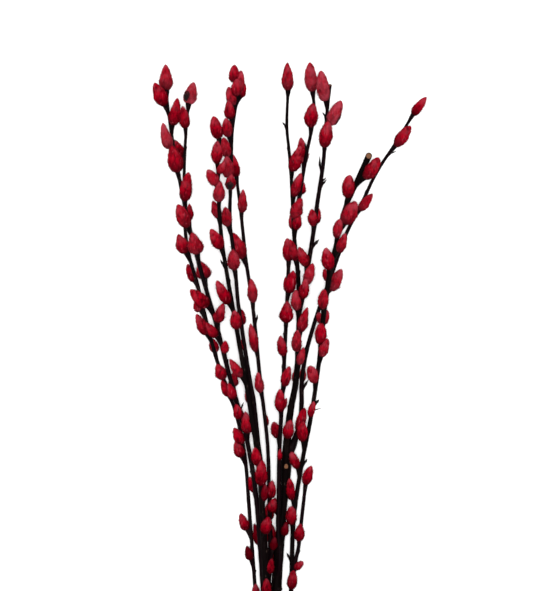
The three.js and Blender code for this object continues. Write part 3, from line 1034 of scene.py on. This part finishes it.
def grow_scale(skin, seat, facing, draw):
    """A pointed cap that hugs the outer foot of a catkin: one thin closed shell."""
    catkin = Catkin(seat, random_for(seat.name))
    reach = draw.uniform(0.5, 0.65)
    half_angle = draw.uniform(0.8, 1.15)
    rows = np.linspace(0, 1, SCALE_RINGS)
    spread = np.sin(np.clip(rows * 1.25 + 0.25, 0, math.pi / 2)) * (1 - rows ** 2.4) ** 0.75
    columns = np.linspace(-1, 1, SCALE_SIDES)
    share = np.repeat(rows * reach, SCALE_SIDES)
    angle = facing + (spread[:, None] * half_angle * columns[None, :]).ravel()
    on_body = catkin.points(share, angle)
    middle = seat.seat + seat.axis * (share * seat.length)[:, None]
    out = unit(on_body - middle)
    edge = np.maximum(np.abs(np.tile(columns, SCALE_RINGS)), np.repeat(rows, SCALE_SIDES))
    lift = SCALE_LIFT + SCALE_PEEL * np.repeat(rows, SCALE_SIDES) ** 2
    outer = on_body + out * (lift + 0.22 * MM)[:, None]
    inner = on_body + out * (lift - 0.1 * MM)[:, None] * (1 - 0.4 * (edge > 0.99))[:, None]
    count = len(outer)
    cell = np.arange(SCALE_RINGS - 1)[:, None] * SCALE_SIDES + np.arange(SCALE_SIDES - 1)
    quads = np.stack([cell, cell + 1, cell + SCALE_SIDES + 1, cell + SCALE_SIDES], -1).reshape(-1, 4)
    grid = np.arange(count).reshape(SCALE_RINGS, SCALE_SIDES)
    border = np.concatenate([grid[0], grid[1:, -1], grid[-1, -2::-1], grid[-2:0:-1, 0]])
    after = np.roll(border, -1)
    wall = np.stack([border, border + count, after + count, after], axis=-1)
    corners = np.concatenate([outer, inner])
    skin.add(corners, [quads, quads[:, ::-1] + count, wall], ring=np.tile(edge, 2))


def grow_bud(skin, seat, draw):
    """A slim pointed bud with two overlapping scales, pressed to its shoot."""
    angles = full_turn(BUD_SIDES)
    across = np.cross(seat.axis, seat.outward)
    bend = draw.uniform(-0.08, 0.16) * seat.length
    rings = []
    for share in np.linspace(0, 1, BUD_RINGS):
        swell = (0.75 + 0.25 * math.sin(min(share / 0.35, 1) * math.pi / 2)) * (1 - share ** 1.7)
        lap = 1 + 0.12 * np.maximum(0, np.sin(2 * angles + 5 * share)) * (share < 0.7)
        radius = seat.width / 2 * swell * lap + 0.04 * MM
        middle = seat.seat + seat.axis * seat.length * share + seat.outward * bend * share ** 2
        rings.append(middle + circle(angles, seat.outward, across) * radius[:, None])
    ends = [rings[0].mean(axis=0) - seat.axis * CAP, rings[-1].mean(axis=0)]
    skin.add(np.concatenate([*rings, ends]), spindle(BUD_RINGS, BUD_SIDES), ring=0.2)


class WILLOW_OT_buds(bpy.types.Operator):
    """Add the bud scales that some catkins still wear, and the buds that dried unopened"""

    bl_idname = "willow.buds"
    bl_label = "Buds and scales"

    def execute(self, context):
        material = scale_material(context.scene.willow_bark)
        scales = Skin(("ring",))
        small = [seat for seats in SMALL_SEATS.values() for seat in seats]
        for seat in [*NODE_SEATS, *small]:
            if seat.name in SCALED_CATKINS:
                facing = math.radians(SCALED_CATKINS[seat.name])
                grow_scale(scales, seat, facing, random_for(seat.name + "_scale"))
        scales.piece("bud_scales", [material])
        buds = Skin(("ring",))
        for seat in BUD_SEATS:
            grow_bud(buds, seat, random_for(seat.name))
        buds.piece("dry_buds", [material])
        return {"FINISHED"}


# ---- Stage ----

SENSOR = 36.0  # width of the camera's sensor, in mm
FLOOR_REACH = 12.0  # from the middle of the floor to its edges
FLOOR_TURNS = ((-1, -1), (1, -1), (1, 1), (-1, 1))
WORLD_STRENGTH = 0.9
CAMERA_SHIFT = 1 * MM  # to the right of the butt


def add_light(name, place, aim, size, power):
    data = bpy.data.lights.new(name, "AREA")
    data.shape, data.size, data.energy = "DISK", size, power
    light = bpy.data.objects.new(name, data)
    light.location = place
    light.rotation_euler = (Vector(aim) - Vector(place)).to_track_quat("-Z", "Y").to_euler()
    bpy.context.scene.collection.objects.link(light)


class WILLOW_OT_stage(bpy.types.Operator):
    """Lay the pale floor and set up the soft lights and the camera that looks down"""

    bl_idname = "willow.stage"
    bl_label = "Stage"

    def execute(self, context):
        settings, scene = context.scene.willow_stage, context.scene
        mesh = bpy.data.meshes.new("floor")
        floor_corners = [(x * FLOOR_REACH, y * FLOOR_REACH, 0) for x, y in FLOOR_TURNS]
        mesh.from_pydata(floor_corners, [], [(0, 1, 2, 3)])
        mesh.materials.append(floor_material(settings.floor))
        floor = bpy.data.objects.new("floor", mesh)
        scene.collection.objects.link(floor)

        world = bpy.data.worlds.new("studio")
        world.use_nodes = True
        world.node_tree.nodes["Background"].inputs["Color"].default_value = (1, 1, 1, 1)
        world.node_tree.nodes["Background"].inputs["Strength"].default_value = WORLD_STRENGTH
        scene.world = world
        add_light("overhead", (0, 0.1, 6), (0, 0.1, 0), 1.4, 270)
        add_light("key", (-0.9, 1.3, 1.7), (0, 0.05, 0), 1.2, 5)

        butt = SHOOTS["main_stem"].at(BUTT_Y)[0]
        middle = (butt[0] + CAMERA_SHIFT, butt[1] + settings.view_middle)
        camera = bpy.data.objects.new("camera", bpy.data.cameras.new("camera"))
        half_depth = (CAD_BOX[0].z + CAD_BOX[1].z) / 2
        camera.data.sensor_width = SENSOR
        camera.data.lens = SENSOR * (settings.camera_height - half_depth) / settings.view_height
        camera.data.clip_end = 100
        camera.location = (*middle, settings.camera_height)
        scene.collection.objects.link(camera)
        scene.camera = camera
        scene.view_settings.view_transform = "Standard"
        return {"FINISHED"}


# ---- Add-on ----

class WILLOW_PT_panel(bpy.types.Panel):
    """Lists the branch's settings and the steps that grow it"""

    bl_label = "Willow branch"
    bl_idname = "WILLOW_PT_panel"
    bl_space_type = "VIEW_3D"
    bl_region_type = "UI"
    bl_category = "Willow"

    def draw(self, context):
        for group in (context.scene.willow_bark, context.scene.willow_fur, context.scene.willow_stage):
            box = self.layout.box()
            for name in group.bl_rna.properties.keys():
                if name not in ("rna_type", "name"):
                    box.prop(group, name)
        for operator in OPERATORS:
            self.layout.operator(operator.bl_idname)


OPERATORS = (
    WILLOW_OT_bark, WILLOW_OT_catkins, WILLOW_OT_small_catkins, WILLOW_OT_buds, WILLOW_OT_stage,
)
CLASSES = (WillowBarkSettings, WillowFurSettings, WillowStageSettings, *OPERATORS, WILLOW_PT_panel)


def register():
    for each in CLASSES:
        bpy.utils.register_class(each)
    bpy.types.Scene.willow_bark = PointerProperty(type=WillowBarkSettings)
    bpy.types.Scene.willow_fur = PointerProperty(type=WillowFurSettings)
    bpy.types.Scene.willow_stage = PointerProperty(type=WillowStageSettings)


def unregister():
    del bpy.types.Scene.willow_stage
    del bpy.types.Scene.willow_fur
    del bpy.types.Scene.willow_bark
    for each in reversed(CLASSES):
        bpy.utils.unregister_class(each)


def main():
    register()
    bpy.ops.willow.bark()
    bpy.ops.willow.catkins()
    bpy.ops.willow.small_catkins()
    bpy.ops.willow.buds()
    bpy.ops.willow.stage()


if __name__ == "__main__":
    main()
